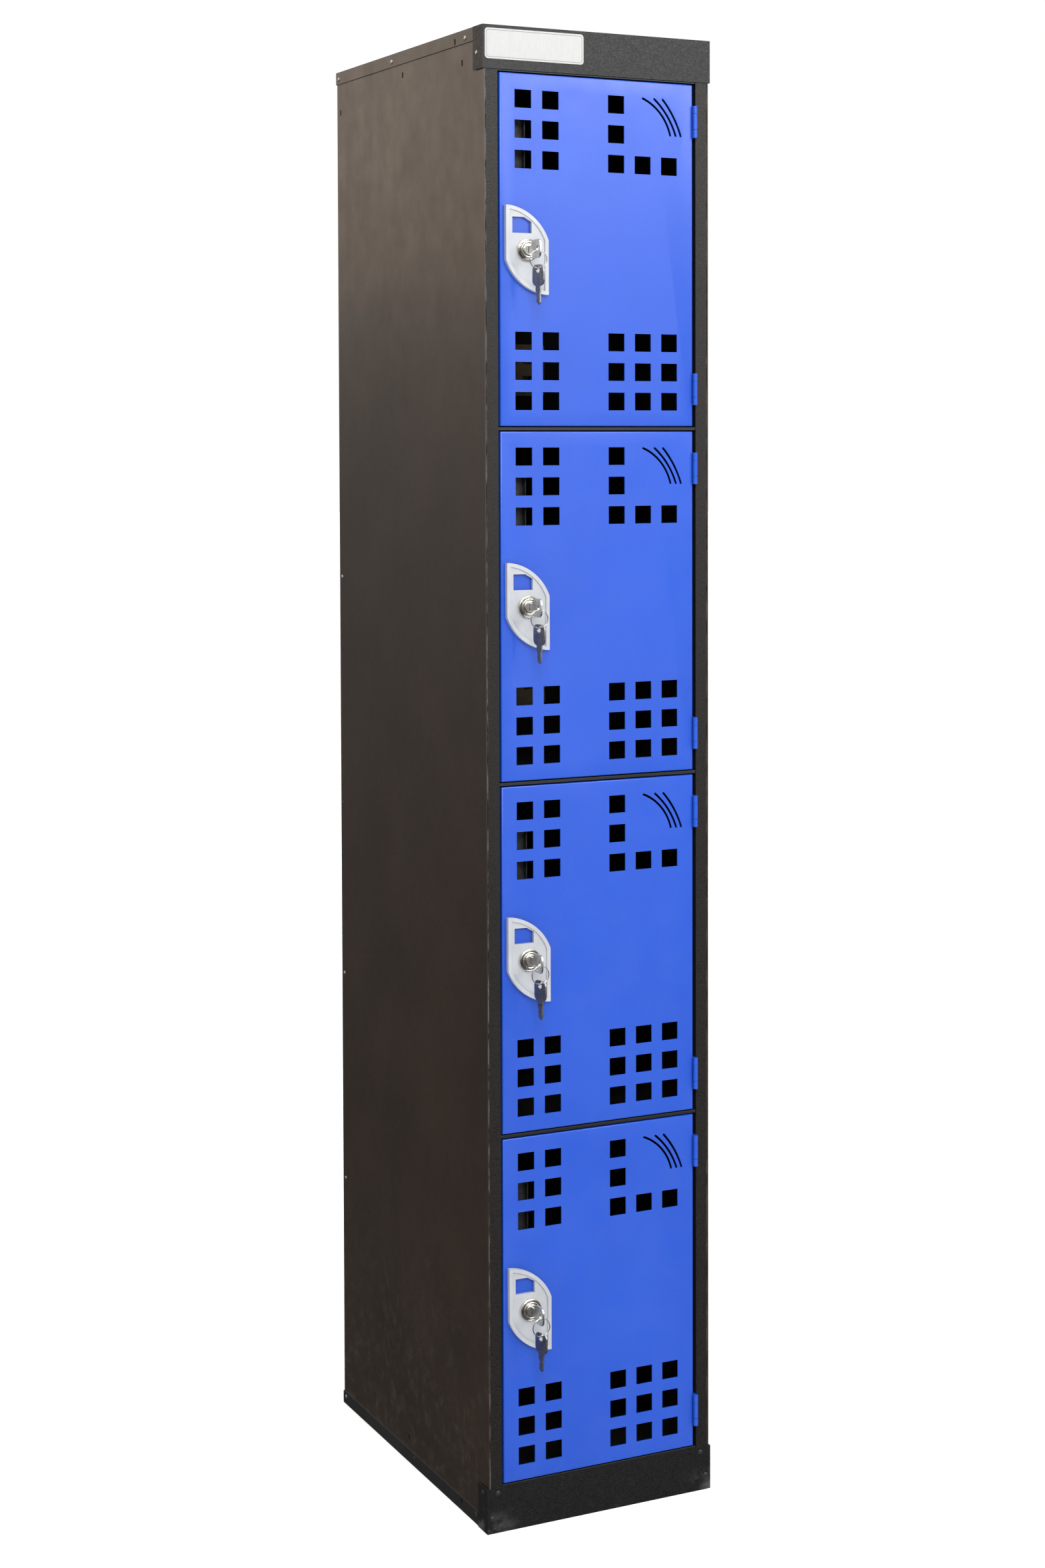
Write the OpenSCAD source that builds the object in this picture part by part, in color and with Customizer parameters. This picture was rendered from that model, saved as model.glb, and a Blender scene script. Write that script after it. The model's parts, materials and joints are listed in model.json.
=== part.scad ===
// Phone charging locker: a tall steel cabinet with four perforated doors, one above the other.
// Each door has a cam lock with its key left in it, and a spare key hangs from the key's ring.
// X runs to the right seen from the front, Y to the back and Z up.
// The origin is on the floor, under the middle of the cabinet.

/* [Cabinet] */
// Width over the side panels
locker_w = 300; // [280:10:400]
// Depth from the door faces to the back
locker_d = 500; // [400:10:650]
// Height over the top cap
locker_h = 1800; // [1500:10:2200]
// Height of the header above the top door
header_h = 51.5; // [46:0.5:80]
// Height of the plinth below the bottom door
plinth_h = 54.5; // [54:0.5:100]
// Thickness of the cabinet's sheet steel
sheet_t = 1.2; // [0.8:0.1:1.6]
// Height of the folded rim of the top cap and the base tray
rim_h = 16; // [14:0.5:20]
// Thickness of the header and plinth covers
cover_t = 1; // [0.8:0.1:1.5]
// How far the covers reach back along the sides
cover_wrap = 28; // [22:1:34]
// Width of the stiles beside the doors
stile_w = 18.5; // [16:0.5:26]
// Depth of the stiles
stile_depth = 24; // [22:0.5:30]
// Depth of the wiring duct behind the service panel
duct_depth = 60; // [56:1:80]

/* [Doors] */
// Gap beside the door on the lock side
lock_gap = 2.5; // [1.5:0.1:4]
// Gap beside the door on the hinge side
hinge_gap = 4; // [3.6:0.1:6]
// Gap between one door and the next
row_gap = 6.4; // [5.6:0.1:10]
// Depth of the folded door panel
door_depth = 18; // [15:0.5:20]
// Thickness of the door's sheet steel
door_t = 1.2; // [0.8:0.1:1.5]
// Width of the lip round the back of the door
door_lip = 12; // [8:0.5:14]

/* [Perforation] */
// Side of each square hole
hole_size = 21.5; // [16:0.5:24]
// Distance between the middles of neighbouring holes
hole_pitch = 35.7; // [30:0.1:38]
// From the lock edge of the door to the middle of the first column
lock_column = 30.2; // [24:0.1:36]
// From the hinge edge of the door to the middle of the last column
hinge_column = 32.4; // [26:0.1:36]
// From the top or bottom edge of the door to the middle of the nearest row
first_row = 29.8; // [24:0.1:36]
// Width of the curved slits
slit_w = 2.6; // [1.4:0.1:3]

/* [Hinges] */
// Height of each hinge
hinge_h = 38.6; // [30:0.1:50]
// Diameter of the hinge barrel
barrel_d = 6; // [5:0.1:6.4]
// Diameter of the hinge pin
pin_d = 3; // [2:0.1:3.4]
// From the top or bottom edge of the door to the hinge
hinge_inset = 26; // [15:0.5:40]

/* [Lock] */
// Width of the lock plate
plate_w = 55; // [50:0.5:60]
// Height of the lock plate
plate_h = 105; // [96:0.5:115]
// Thickness of the lock plate at its rim
plate_t = 6; // [4:0.1:8]
// Diameter of the lock's front ring
bezel_d = 27; // [24:0.5:30]
// Diameter of the lock body through the door
body_d = 19; // [16:0.5:20]
// Diameter of the turning plug
plug_d = 13; // [11.5:0.1:13.5]
// Reach of the cam from the lock's axis
cam_reach = 45; // [44:0.5:48]

/* [Keys] */
// Length of the key's blade
blade_l = 15; // [12:0.5:17]
// Length of the neck between the blade and the bow
neck_l = 7; // [5:0.5:9]
// Length of the key's bow
bow_l = 25; // [22:0.5:26]
// Width of the key's bow
bow_w = 22; // [18:0.5:22]
// Diameter of the hole in the bow
bow_hole_d = 7; // [6:0.1:7.5]
// Outer diameter of the split ring
ring_d = 22.6; // [21.6:0.1:26]
// Diameter of the split ring's wire
wire_d = 1.8; // [1.2:0.1:2]

/* [Hidden] */
$fn = 48;
TIERS = 4;

DOOR_NODES = ["door_panel", "door_stiffener", "hinge_leaves", "lock_plate", "lock_housing",
    "lock_plug", "lock_cam", "key", "key_ring", "spare_key"];

// Gap left between pieces that move past each other
move_gap = 0.3;
// Radial clearance of a shaft in its bore, and of a rivet in its hole
shaft_gap = 0.05;
// How far a cutting shape runs past the face that it cuts
over = 1;

// Cabinet planes
half_w = locker_w / 2;
front_y = -locker_d / 2;
back_y = locker_d / 2;
side_out = half_w - sheet_t;
side_in = side_out - sheet_t;
opening_x = half_w - stile_w;
back_in = back_y - 2 * sheet_t;
service_y = back_y - duct_depth;
tier_pitch = (locker_h - header_h - plinth_h) / TIERS;
function shelf_z(k) = plinth_h + k * tier_pitch;
function door_z(i) = locker_h - header_h - (i - 0.5) * tier_pitch;

// Stiles and shelves
stile_lip = 5;
seam = 1.5;
seam_chamfer = 0.7 * seam;
nose_h = 3.6;
nose_setback = 1;
// Room between the back of a door and the shelf it closes against
stop_gap = 2.8;
door_stop_y = front_y + door_depth + stop_gap;
shelf_drop = 15;
shelf_hem = 1.2;
return_w = 20;
service_return = 15;

// Doors
door_left = -opening_x + lock_gap;
door_right = opening_x - hinge_gap;
door_h = tier_pitch - row_gap;
door_back = front_y + door_depth;

// Each slit is an arc: where its top and bottom ends lie from the hinge edge, and its radius
slits = [[67.9, 30.7, 62], [52.3, 23.3, 96], [40.9, 16.4, 120]];
slit_top = 20.4;
slit_bottom = 63.3;

// Hinges: the pin stands in front of the gap between the door and the stile
knuckle_share = 0.5;
leaf_t = 1.2;
leaf_w = 15;
hinge_x = door_right + hinge_gap / 2;
hinge_y = front_y - barrel_d / 2 + 0.2;
leaf_front = front_y + 0.8;
hinge_z = door_h / 2 - hinge_inset - hinge_h / 2;
middle_h = hinge_h * knuckle_share;

// Lock plate and lock, measured from the lock's axis
plate_inset = 5.5;
plate_flat = 4;
plate_drop = 40.5;
plate_arc = 62;
plate_rim = 4.5;
plate_recess = 1.5;
window = [25, 19];
window_cut = [9.5, 5.5];
window_left = 8.6;
window_top = 13.6;
lock_x = door_left + plate_inset + plate_w / 2;
plate_front = front_y - plate_t;
plate_field = plate_front + plate_recess;
bezel_h = 4;
collar_d = 21;
collar_h = 2.5;
lock_face = plate_field - bezel_h - collar_h;
plug_face = lock_face - 0.5;
nut_af = 24;
nut_h = 5;
cam_y = front_y + stile_depth + 0.8;
cam_t = 2.5;
cam_w = 16;
cam_square = 7;
housing_back = cam_y - 0.6;
cam_screw_d = 10;
cam_screw_h = 2;
cam_screw_shank_d = 4;
cam_screw_l = 8;

// Door stiffener
stiffener_left = 1.2;
stiffener_w = 36;
stiffener_low = 90;
stiffener_high = 158;
stiffener_fold = 8;

// Keys: the hole sits near the end of the bow, and the ring's wire rests in it
blade_w = 7.4;
key_t = 2;
neck_w = 9;
bow_corner = 7;
hole_to_end = 6.5;
keyway_l = 24;
key_hole_y = plug_face - move_gap - neck_l - bow_l + hole_to_end;
ring_r = (ring_d - wire_d) / 2;
wire_rest = (bow_hole_d - wire_d) / 2 - move_gap;
spare_turn = 12;

// Rivets: how far behind the front, how high, and the face they sit on
// Faces: 0 the side panel, 1 the rim of the cap or the tray, 2 a cover
rivet_head_d = 6;
rivet_head_h = 1;
rivet_d = 3.2;
rivet_grip = cover_t + 3 * sheet_t + 0.6;
rear_rivet = locker_d - 10;
bright_side = [
    [17, locker_h - 32, 2],
    [54, locker_h - 10, 1],
    [295, locker_h - 9.5, 1],
    [rear_rivet, locker_h - 9.5, 1],
    [rear_rivet, locker_h - 674, 0],
    [rear_rivet, locker_h - 1210, 0],
    [rear_rivet, locker_h - 1490, 0],
    [rear_rivet, 9.5, 1]
];
painted_side = [
    [rear_rivet, locker_h - 979, 0],
    [238, 11, 1],
    [37, 11, 1],
    [13, 47, 2]
];
// Rivets on the plinth's front: how far from the side, and how high
painted_front = [[13, 48], [5.5, 18]];

// Slots for joining neighbouring lockers: how far behind the front, and how high
slot_w = 4;
slot_l = 8;
join_y = 260;
join_z = 30;
side_slots = [
    [85, locker_h - 11],
    [66, locker_h - 38],
    [join_y, locker_h - join_z],
    [locker_d - 14, locker_h - 54],
    [join_y, join_z],
    [82, 11]
];

// Fixing holes
floor_hole_d = 9;
floor_hole_x = 100;
floor_hole_y = 200;
wall_hole_d = 8;
wall_hole_x = 100;
wall_hole_drop = 90;

// Charging gear
outlet_x = 100;
outlet_rise = 80;
outlet_face = [50, 4, 70];
outlet_body = [42, 26, 60];
port = [13, 6];
port_depth = 12;
port_spread = 22;
supply_size = [120, 42, 200];
supply_x = -10;
supply_z = 60;
inlet_x = 100;
inlet_z = 78;
inlet_body = [28, 24, 21];
inlet_flange = [50, 24];
inlet_recess = [23, 16, 16];
inlet_pin = [2, 9, 4];
inlet_pin_spread = 7;
earth_pin_rise = 3;
line_pin_drop = 1;
trunk_d = 8;
lead_d = 6;
trunk_y = service_y + outlet_body[1] + 8;

// Name label
label_size = [128, 36];
label_t = 0.4;
label_inset = 3;
label_drop = 4;
label_corner = 4;

// A block between two opposite corners
module block(low, high) {
    translate(low) cube(high - low);
}

// A flat outline in X and Z, made solid between two depths
module facing_front(y0, y1) {
    translate([0, y1, 0]) rotate([90, 0, 0]) linear_extrude(y1 - y0) children();
}

// A flat outline in Y and Z, made solid between two widths
module facing_side(x0, x1) {
    translate([x0, 0, 0]) rotate([90, 0, 90]) linear_extrude(x1 - x0) children();
}

// A round bar along Y
module bar_y(x, z, y0, y1, d) {
    translate([x, y1, z]) rotate([90, 0, 0]) cylinder(d = d, h = y1 - y0);
}

// A rectangle round its middle, with round corners
module rounded_rect(w, h, r) {
    square([w - 2 * r, h], center = true);
    square([w, h - 2 * r], center = true);
    for (x = [-1, 1], y = [-1, 1])
        translate([x * (w / 2 - r), y * (h / 2 - r)]) circle(r);
}

module both_sides() {
    children();
    mirror([1, 0, 0]) children();
}

// The centre of the arc of radius r from p down to q that bulges up and to the right
function arc_centre(p, q, r) =
    let (d = q - p, half = norm(d) / 2, h = sqrt(r * r - half * half))
    (p + q) / 2 + h * [d[1], -d[0]] / norm(d);

// Places a shape on the side faces, its Z pointing outwards
module at_side(spots) {
    faces = [side_out, half_w, half_w + cover_t];
    both_sides() for (s = spots)
        translate([faces[s[2]], front_y + s[0], s[1]]) rotate([0, 90, 0]) children();
}

// Places a shape on the front of the plinth, its Z pointing outwards
module at_plinth(spots) {
    both_sides() for (s = spots)
        translate([half_w - s[0], front_y - cover_t, s[1]]) rotate([90, 0, 0]) children();
}

// A rivet with a low domed head
module rivet() {
    dome_r = (rivet_head_d * rivet_head_d / 4 + rivet_head_h * rivet_head_h) / (2 * rivet_head_h);
    intersection() {
        translate([0, 0, rivet_head_h - dome_r]) sphere(dome_r);
        cylinder(d = rivet_head_d, h = rivet_head_h + over);
    }
    translate([0, 0, -rivet_grip]) cylinder(d = rivet_d, h = rivet_grip);
}

module rivet_hole() {
    translate([0, 0, -rivet_grip - over])
        cylinder(d = rivet_d + 2 * shaft_gap, h = rivet_grip + 2 * over);
}

// The holes that the rivets and the joining slots make in the sheets
module sheet_holes() {
    at_side(bright_side) rivet_hole();
    at_side(painted_side) rivet_hole();
    at_plinth(painted_front) rivet_hole();
    both_sides() for (s = side_slots)
        translate([half_w + over, front_y + s[0], s[1]]) rotate([0, -90, 0])
            linear_extrude(rivet_grip + over) rounded_rect(slot_l, slot_w, slot_w / 2 - 0.01);
}

module side_panel() {
    difference() {
        block([side_in, front_y, sheet_t], [side_out, back_y - sheet_t, locker_h - sheet_t]);
        sheet_holes();
    }
}

module side_panel_right() {
    color("#3c322a") side_panel();
}

module side_panel_left() {
    color("#3c322a") mirror([1, 0, 0]) side_panel();
}

// The back fits between the side panels, and its folds are riveted to them
module back_panel() {
    color("#3c322a") difference() {
        union() {
            block([-side_in, back_in, sheet_t], [side_in, back_y - sheet_t, locker_h - sheet_t]);
            both_sides() block(
                [side_in - sheet_t, back_in - return_w, sheet_t],
                [side_in, back_y - sheet_t, locker_h - sheet_t]
            );
        }
        sheet_holes();
        for (x = [-1, 1])
            bar_y(x * wall_hole_x, locker_h - wall_hole_drop, back_in - over, back_y, wall_hole_d);
        translate([inlet_x - inlet_body[0] / 2, back_in - over, inlet_z - inlet_body[2] / 2])
            cube([inlet_body[0], 2 * sheet_t + over, inlet_body[2]]);
    }
}

// A tray with a rim on the sides and the back, open to the front
module rimmed_tray() {
    difference() {
        block([-half_w, front_y, 0], [half_w, back_y, rim_h]);
        block([-side_out, front_y - over, sheet_t], [side_out, back_y - sheet_t, rim_h + over]);
    }
}

module top_cap() {
    color("#6e6257") difference() {
        translate([0, 0, locker_h]) mirror([0, 0, 1]) rimmed_tray();
        sheet_holes();
    }
}

module base_tray() {
    color("#26282a") difference() {
        rimmed_tray();
        sheet_holes();
        for (x = [-1, 1], y = [-1, 1])
            translate([x * floor_hole_x, y * floor_hole_y, -over])
                cylinder(d = floor_hole_d, h = sheet_t + 2 * over);
    }
}

// A cover over the front corners, between two heights
module wrap_cover(z0, z1) {
    difference() {
        block([-half_w - cover_t, front_y - cover_t, z0], [half_w + cover_t, front_y + cover_wrap, z1]);
        block([-half_w, front_y, z0 - over], [half_w, front_y + cover_wrap + over, z1 + over]);
        sheet_holes();
    }
}

module header_cover() {
    color("#55565a") wrap_cover(locker_h - header_h, locker_h);
}

module plinth_cover() {
    color("#1c1d20") wrap_cover(0, plinth_h);
}

// A stile is a channel, open at the back, with a groove along its outer front corner
module stile() {
    difference() {
        block([opening_x, front_y, sheet_t], [side_in, front_y + stile_depth, locker_h - sheet_t]);
        block(
            [opening_x + sheet_t, front_y + sheet_t, 0],
            [side_in - sheet_t, front_y + stile_depth - sheet_t, locker_h]
        );
        block(
            [opening_x + sheet_t + stile_lip, front_y + stile_depth - sheet_t - over, 0],
            [side_in - sheet_t, front_y + stile_depth + over, locker_h]
        );
        translate([0, 0, plinth_h]) linear_extrude(locker_h - header_h - plinth_h)
            polygon([[side_in - seam_chamfer, front_y - over], [side_in + over, front_y - over],
                [side_in + over, front_y + seam_chamfer], [side_in, front_y + seam_chamfer],
                [side_in - seam_chamfer, front_y]]);
        sheet_holes();
    }
}

module stile_right() {
    color("#2a2b2e") stile();
}

module stile_left() {
    color("#2a2b2e") mirror([1, 0, 0]) stile();
}

// A shelf is a tray turned over, with a nose that fills the gap between two doors
module shelf() {
    top = nose_h / 2;
    low = top - shelf_drop;
    stile_back = front_y + stile_depth;
    block([-opening_x, front_y + nose_setback, -top], [opening_x, door_stop_y + shelf_hem, top]);
    block([-opening_x, door_stop_y, low], [opening_x, door_stop_y + shelf_hem, top]);
    block([-opening_x, door_stop_y, top - sheet_t], [opening_x, stile_back + over, top]);
    difference() {
        block([-side_in, stile_back, low], [side_in, service_y, top]);
        block([-side_in + sheet_t, stile_back - over, low - over],
            [side_in - sheet_t, service_y - sheet_t, top - sheet_t]);
    }
}

module shelves() {
    color("#141416") for (k = [0:TIERS]) translate([0, 0, shelf_z(k)]) shelf();
}

// The service panel closes the wiring duct and carries the outlets
module service_panel() {
    low = shelf_z(0) - shelf_drop;
    high = shelf_z(TIERS) + nose_h / 2;
    color("#141416") difference() {
        union() {
            block([-side_in, service_y, low], [side_in, service_y + sheet_t, high]);
            both_sides() block([side_in - sheet_t, service_y, low], [side_in, service_y + service_return, high]);
        }
        for (k = [0:TIERS - 1])
            translate([outlet_x - outlet_body[0] / 2, service_y - over,
                shelf_z(k) + outlet_rise - outlet_body[2] / 2])
                cube([outlet_body[0], sheet_t + 2 * over, outlet_body[2]]);
    }
}

// A charging outlet: a face plate, a body behind the panel, and two ports
module outlet() {
    difference() {
        union() {
            facing_front(service_y - outlet_face[1], service_y)
                rounded_rect(outlet_face[0], outlet_face[2], 4);
            translate([-outlet_body[0] / 2, service_y, -outlet_body[2] / 2]) cube(outlet_body);
        }
        for (z = [-1, 1])
            translate([-port[0] / 2, service_y - outlet_face[1] - over,
                z * port_spread / 2 - port[1] / 2])
                cube([port[0], port_depth + over, port[1]]);
    }
}

module charging_outlets() {
    color("#d8cfb8") for (k = [0:TIERS - 1])
        translate([outlet_x, 0, shelf_z(k) + outlet_rise]) outlet();
}

module power_supply() {
    color("#8b8f93")
        translate([supply_x - supply_size[0] / 2, back_in - supply_size[1], supply_z]) cube(supply_size);
}

// The mains inlet: a flange outside the back, and a recess with three pins
module power_inlet() {
    rim_y = back_y - sheet_t;
    color("#202022") translate([inlet_x, 0, inlet_z]) {
        difference() {
            union() {
                facing_front(rim_y, back_y) rounded_rect(inlet_flange[0], inlet_flange[1], 4);
                translate([-inlet_body[0] / 2, back_y - inlet_body[1], -inlet_body[2] / 2])
                    cube([inlet_body[0], inlet_body[1] - sheet_t / 2, inlet_body[2]]);
            }
            translate([-inlet_recess[0] / 2, back_y - inlet_recess[1], -inlet_recess[2] / 2])
                cube([inlet_recess[0], inlet_recess[1] + over, inlet_recess[2]]);
        }
        for (p = [-1, 0, 1])
            translate([p * inlet_pin_spread - inlet_pin[0] / 2, back_y - inlet_recess[1],
                -inlet_pin[2] / 2 + (p == 0 ? earth_pin_rise : -line_pin_drop)])
                cube(inlet_pin);
    }
}

// The wiring rises behind the outlets, with a stub to each and leads to the supply and the inlet
module supply_wiring() {
    low = shelf_z(0) + outlet_rise;
    high = shelf_z(TIERS - 1) + outlet_rise;
    lead_y = back_y - inlet_body[1] + lead_d;
    supply_edge = supply_x + supply_size[0] / 2;
    color("#1b1b1d") {
        translate([outlet_x, trunk_y, low]) cylinder(d = trunk_d, h = high - low);
        for (k = [0:TIERS - 1])
            bar_y(outlet_x, shelf_z(k) + outlet_rise, service_y + outlet_body[1], trunk_y, lead_d);
        translate([supply_edge, trunk_y, supply_z + supply_size[2] / 2]) rotate([0, 90, 0])
            cylinder(d = lead_d, h = outlet_x - supply_edge);
        translate([supply_edge, lead_y, inlet_z]) rotate([0, 90, 0])
            cylinder(d = lead_d, h = inlet_x - inlet_body[0] / 2 - supply_edge);
    }
}

module name_label() {
    low_left = [-half_w - cover_t + label_inset, locker_h - label_drop - label_size[1]];
    color("#f2f2f0") facing_front(front_y - cover_t - label_t, front_y - cover_t)
        translate(low_left + label_size / 2)
            rounded_rect(label_size[0], label_size[1], label_corner);
}

module bright_rivets() {
    color("#c8cacc") at_side(bright_side) rivet();
}

module painted_rivets() {
    color("#222326") {
        at_side(painted_side) rivet();
        at_plinth(painted_front) rivet();
    }
}

// Places a shape at both hinges of the door whose middle is at height 0
module at_hinges() {
    for (z = [-1, 1]) translate([hinge_x, hinge_y, z * hinge_z]) children();
}

// One knuckle with its bore, and the tongue that joins it to a leaf on one side
module knuckle(z0, z1, side) {
    tongue_x = side * (hinge_gap / 2);
    difference() {
        union() {
            translate([0, 0, z0]) cylinder(d = barrel_d, h = z1 - z0);
            block(
                [min(tongue_x, tongue_x - side * leaf_t), 0, z0],
                [max(tongue_x, tongue_x - side * leaf_t), leaf_front - hinge_y, z1]
            );
        }
        translate([0, 0, z0 - over]) cylinder(d = pin_d + 2 * shaft_gap, h = z1 - z0 + 2 * over);
    }
}

module leaf(side) {
    x = side * (hinge_gap / 2);
    block(
        [min(x, x - side * leaf_t), leaf_front - hinge_y, -hinge_h / 2],
        [max(x, x - side * leaf_t), leaf_front - hinge_y + leaf_w, hinge_h / 2]
    );
}

// The frame's leaves carry the outer knuckles
module hinge_frame_leaves() {
    color("#3d63d8") for (i = [1:TIERS]) translate([0, 0, door_z(i)]) at_hinges() {
        leaf(1);
        knuckle(middle_h / 2 + move_gap, hinge_h / 2, 1);
        knuckle(-hinge_h / 2, -middle_h / 2 - move_gap, 1);
    }
}

module hinge_pins() {
    color("#3d63d8") for (i = [1:TIERS]) translate([0, 0, door_z(i)]) at_hinges()
        translate([0, 0, -hinge_h / 2]) cylinder(d = pin_d, h = hinge_h);
}

// The door's leaves carry the middle knuckles
module hinge_leaves() {
    color("#3d63d8") at_hinges() {
        leaf(-1);
        knuckle(-middle_h / 2, middle_h / 2, -1);
    }
}

// The outline of one curved slit, measured from the door's upper hinge corner
module slit(s) {
    p = [-s[0], -slit_top];
    q = [-s[1], -slit_bottom];
    c = arc_centre(p, q, s[2]);
    intersection() {
        translate(c) difference() {
            circle(s[2] + slit_w / 2, $fn = 200);
            circle(s[2] - slit_w / 2, $fn = 200);
        }
        translate([p[0], q[1]]) square([q[0] - p[0] + slit_w, p[1] - q[1]]);
    }
    for (end = [p, q]) translate(end) circle(d = slit_w);
}

module square_hole(x, z) {
    translate([x, z]) square(hole_size, center = true);
}

// The holes in the door's face, round its middle height
module perforation() {
    row_z = door_h / 2 - first_row;
    lock_x0 = door_left + lock_column;
    hinge_x0 = door_right - hinge_column;
    for (r = [0:2], up = [-1, 1], c = [0, 1])
        square_hole(lock_x0 + c * hole_pitch, up * (row_z - r * hole_pitch));
    for (r = [0:2], c = [0:2]) {
        square_hole(hinge_x0 - c * hole_pitch, -row_z + r * hole_pitch);
        if (c == 2 || r == 2) square_hole(hinge_x0 - c * hole_pitch, row_z - r * hole_pitch);
    }
    translate([door_right, door_h / 2]) for (s = slits) slit(s);
}

// The door is a folded pan with a lip round its back
module door_panel() {
    half_h = door_h / 2;
    color("#3f6ce6") difference() {
        block([door_left, front_y, -half_h], [door_right, door_back, half_h]);
        block(
            [door_left + door_t, front_y + door_t, -half_h + door_t],
            [door_right - door_t, door_back - door_t, half_h - door_t]
        );
        block(
            [door_left + door_lip, front_y + door_t, -half_h + door_lip],
            [door_right - door_lip, door_back + over, half_h - door_lip]
        );
        facing_front(front_y - over, front_y + door_t + over) perforation();
        bar_y(lock_x, 0, front_y - over, front_y + door_t + over, body_d + 2 * shaft_gap);
    }
}

// The stiffener lies on the door's back lip, and is notched round the lock
module door_stiffener() {
    left = door_left + stiffener_left;
    right = left + stiffener_w;
    color("#8d9196") difference() {
        union() {
            block([left, door_back, -stiffener_low], [right, door_back + door_t, stiffener_high]);
            block([right - door_t, door_back - stiffener_fold, -stiffener_low],
                [right, door_back + door_t, stiffener_high]);
        }
        bar_y(lock_x, 0, front_y, cam_y, body_d + 6);
    }
}

// The leaf-shaped outline of the lock plate, drawn in by an inset
module plate_outline(inset) {
    p = [-plate_w / 2 + plate_flat, plate_h / 2];
    q = [plate_w / 2, plate_h / 2 - plate_drop];
    c = arc_centre(p, q, plate_arc);
    difference() {
        square([plate_w - 2 * inset, plate_h - 2 * inset], center = true);
        for (turn = [0, 180]) rotate(turn) translate(c) difference() {
            square(2 * plate_arc);
            circle(plate_arc - inset, $fn = 160);
        }
    }
}

module lock_plate() {
    win = [-plate_w / 2 + window_left, plate_h / 2 - window_top - window[1]];
    color("#ced1d6") difference() {
        facing_front(plate_front, front_y) translate([lock_x, 0]) plate_outline(0);
        facing_front(plate_front - over, plate_field) translate([lock_x, 0]) plate_outline(plate_rim);
        facing_front(plate_front - over, front_y + over) translate([lock_x, 0] + win)
            polygon([[0, 0], [window[0], 0], [window[0], window[1] - window_cut[1]],
                [window[0] - window_cut[0], window[1]], [0, window[1]]]);
        bar_y(lock_x, 0, plate_front - over, front_y + over, body_d + 2 * shaft_gap);
    }
}

// The lock's fixed body, with its front ring, and the nut behind the door's face
module lock_housing() {
    nut_y = front_y + door_t;
    color("#b9b6ae") {
        difference() {
            union() {
                bar_y(lock_x, 0, plate_field - bezel_h, plate_field, bezel_d);
                bar_y(lock_x, 0, lock_face, plate_field, collar_d);
                bar_y(lock_x, 0, lock_face, housing_back, body_d);
            }
            bar_y(lock_x, 0, lock_face - over, housing_back + over, plug_d + 2 * shaft_gap);
        }
        difference() {
            translate([lock_x, nut_y + nut_h, 0]) rotate([90, 0, 0])
                cylinder(d = nut_af / cos(30), h = nut_h, $fn = 6);
            bar_y(lock_x, 0, nut_y - over, nut_y + nut_h + over, body_d + 2 * shaft_gap);
        }
    }
}

// The turning plug: a keyway in front, a square for the cam and a screw hole behind
module lock_plug() {
    way = [key_t + 2 * move_gap, blade_w + 2 * move_gap];
    stud_y = cam_y + cam_t;
    color("#c9c6bd") difference() {
        union() {
            bar_y(lock_x, 0, plug_face, cam_y, plug_d);
            block([lock_x - cam_square / 2, cam_y - over, -cam_square / 2],
                [lock_x + cam_square / 2, stud_y, cam_square / 2]);
        }
        block([lock_x - way[0] / 2, plug_face - over, -way[1] / 2],
            [lock_x + way[0] / 2, plug_face + keyway_l, way[1] / 2]);
        bar_y(lock_x, 0, stud_y - cam_screw_l, stud_y + over, cam_screw_shank_d + 2 * shaft_gap);
    }
}

// The cam hangs down when the door is unlocked, and a screw holds it
module lock_cam() {
    tip = cam_w / 2;
    stud_y = cam_y + cam_t;
    color("#a3a6aa") {
        facing_front(cam_y, stud_y) translate([lock_x, 0]) difference() {
            union() {
                circle(d = cam_w + 2);
                translate([-cam_w / 2, -cam_reach + tip]) square([cam_w, cam_reach - tip]);
                translate([0, -cam_reach + tip]) circle(d = cam_w);
            }
            square(cam_square, center = true);
        }
        bar_y(lock_x, 0, stud_y, stud_y + cam_screw_h, cam_screw_d);
        bar_y(lock_x, 0, stud_y - cam_screw_l + over, stud_y, cam_screw_shank_d);
    }
}

// A key round the middle of its bow hole, its blade along +X of the outline
module key_outline() {
    bow_end = bow_l - hole_to_end;
    shoulder = bow_end + neck_l;
    difference() {
        union() {
            translate([bow_l / 2 - hole_to_end, 0]) rounded_rect(bow_l, bow_w, bow_corner);
            translate([bow_end - over, -neck_w / 2]) square([neck_l + over, neck_w]);
            polygon([[shoulder - over, -blade_w / 2], [shoulder + blade_l - 3, -blade_w / 2],
                [shoulder + blade_l, 0], [shoulder + blade_l - 3, blade_w / 2],
                [shoulder - over, blade_w / 2]]);
        }
        circle(d = bow_hole_d);
    }
}

module key() {
    color("#c4c2ba") translate([lock_x, key_hole_y, 0])
        facing_side(-key_t / 2, key_t / 2) key_outline();
}

// The ring's wire runs through the bow hole, and the ring faces the front
module key_ring() {
    color("#d0d0cc") translate([lock_x, key_hole_y, -wire_rest - ring_r]) rotate([90, 0, 0])
        rotate_extrude($fn = 96) translate([ring_r, 0]) circle(d = wire_d);
}

// The spare key hangs from the bottom of the ring, turned a little to the left
module spare_key() {
    color("#c4c2ba") translate([lock_x, key_hole_y, -2 * wire_rest - 2 * ring_r])
        rotate([0, 0, spare_turn]) facing_side(-key_t / 2, key_t / 2) rotate(-90) key_outline();
}

side_panel_left();
side_panel_right();
back_panel();
top_cap();
base_tray();
header_cover();
plinth_cover();
stile_left();
stile_right();
shelves();
service_panel();
hinge_frame_leaves();
hinge_pins();
bright_rivets();
painted_rivets();
charging_outlets();
power_supply();
power_inlet();
supply_wiring();
name_label();

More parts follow.
